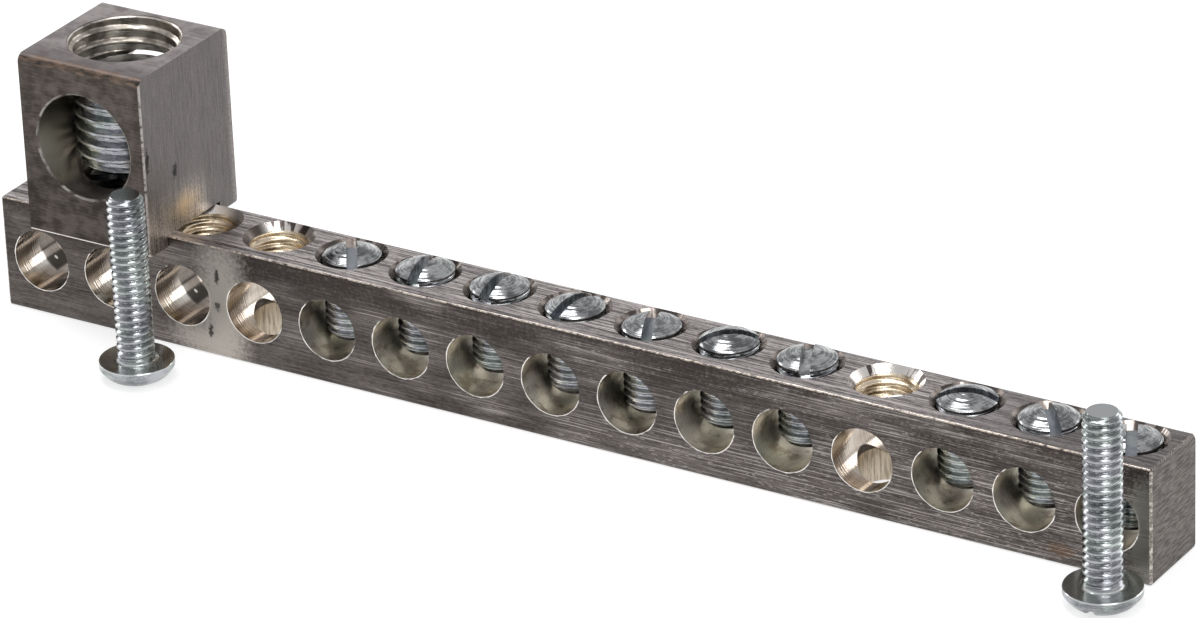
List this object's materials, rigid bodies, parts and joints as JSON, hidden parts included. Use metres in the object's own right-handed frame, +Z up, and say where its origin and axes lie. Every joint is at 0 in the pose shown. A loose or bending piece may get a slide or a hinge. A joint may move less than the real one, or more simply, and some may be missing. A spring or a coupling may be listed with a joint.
{
  "type": "ground bar",
  "caption": "Aluminium ground bar with a row of screw-clamped wire holes, a large wire lug at one end and loose pan-head mounting screws.",
  "frame": {"origin": "underside of the bar, midway between its two mounting holes", "axes": "+X along the bar away from the lug, +Y from the front face to the back, +Z up out of the screw row"},
  "size_m": [0.1209, 0.0216, 0.0276],
  "materials": {
    "bar_metal": "drawn along its length and dulled",
    "lug_metal": "drawn front and top, sawn sides, dulled",
    "zinc_steel": "clear zinc plate"
  },
  "bodies": {
    "bar_body": {"bar": "bar_metal", "lug_body": "lug_metal", "lug_mounting_screw": "zinc_steel", "mounting_screw_left": "zinc_steel", "mounting_screw_right": "zinc_steel"},
    "lug_set_screw_body": {"lug_set_screw": "zinc_steel"},
    "terminal_screw_05_body": {"terminal_screw_05": "zinc_steel"},
    "terminal_screw_06_body": {"terminal_screw_06": "zinc_steel"},
    "terminal_screw_07_body": {"terminal_screw_07": "zinc_steel"},
    "terminal_screw_08_body": {"terminal_screw_08": "zinc_steel"},
    "terminal_screw_09_body": {"terminal_screw_09": "zinc_steel"},
    "terminal_screw_10_body": {"terminal_screw_10": "zinc_steel"},
    "terminal_screw_11_body": {"terminal_screw_11": "zinc_steel"},
    "terminal_screw_13_body": {"terminal_screw_13": "zinc_steel"},
    "terminal_screw_14_body": {"terminal_screw_14": "zinc_steel"},
    "terminal_screw_15_body": {"terminal_screw_15": "zinc_steel"}
  },
  "joints": [
    {"name": "lug_set_screw_travel", "type": "slide", "parent": "bar_body", "child": "lug_set_screw_body", "axis": [0, 0, 1], "range_m": [-0.0008, 0.00889]},
    {"name": "terminal_screw_05_travel", "type": "slide", "parent": "bar_body", "child": "terminal_screw_05_body", "axis": [0, 0, 1], "range_m": [0, 0.00498]},
    {"name": "terminal_screw_06_travel", "type": "slide", "parent": "bar_body", "child": "terminal_screw_06_body", "axis": [0, 0, 1], "range_m": [0, 0.00498]},
    {"name": "terminal_screw_07_travel", "type": "slide", "parent": "bar_body", "child": "terminal_screw_07_body", "axis": [0, 0, 1], "range_m": [0, 0.00498]},
    {"name": "terminal_screw_08_travel", "type": "slide", "parent": "bar_body", "child": "terminal_screw_08_body", "axis": [0, 0, 1], "range_m": [0, 0.00498]},
    {"name": "terminal_screw_09_travel", "type": "slide", "parent": "bar_body", "child": "terminal_screw_09_body", "axis": [0, 0, 1], "range_m": [0, 0.00498]},
    {"name": "terminal_screw_10_travel", "type": "slide", "parent": "bar_body", "child": "terminal_screw_10_body", "axis": [0, 0, 1], "range_m": [0, 0.00498]},
    {"name": "terminal_screw_11_travel", "type": "slide", "parent": "bar_body", "child": "terminal_screw_11_body", "axis": [0, 0, 1], "range_m": [0, 0.00498]},
    {"name": "terminal_screw_13_travel", "type": "slide", "parent": "bar_body", "child": "terminal_screw_13_body", "axis": [0, 0, 1], "range_m": [0, 0.00498]},
    {"name": "terminal_screw_14_travel", "type": "slide", "parent": "bar_body", "child": "terminal_screw_14_body", "axis": [0, 0, 1], "range_m": [0, 0.00498]},
    {"name": "terminal_screw_15_travel", "type": "slide", "parent": "bar_body", "child": "terminal_screw_15_body", "axis": [0, 0, 1], "range_m": [0, 0.00498]}
  ]
}
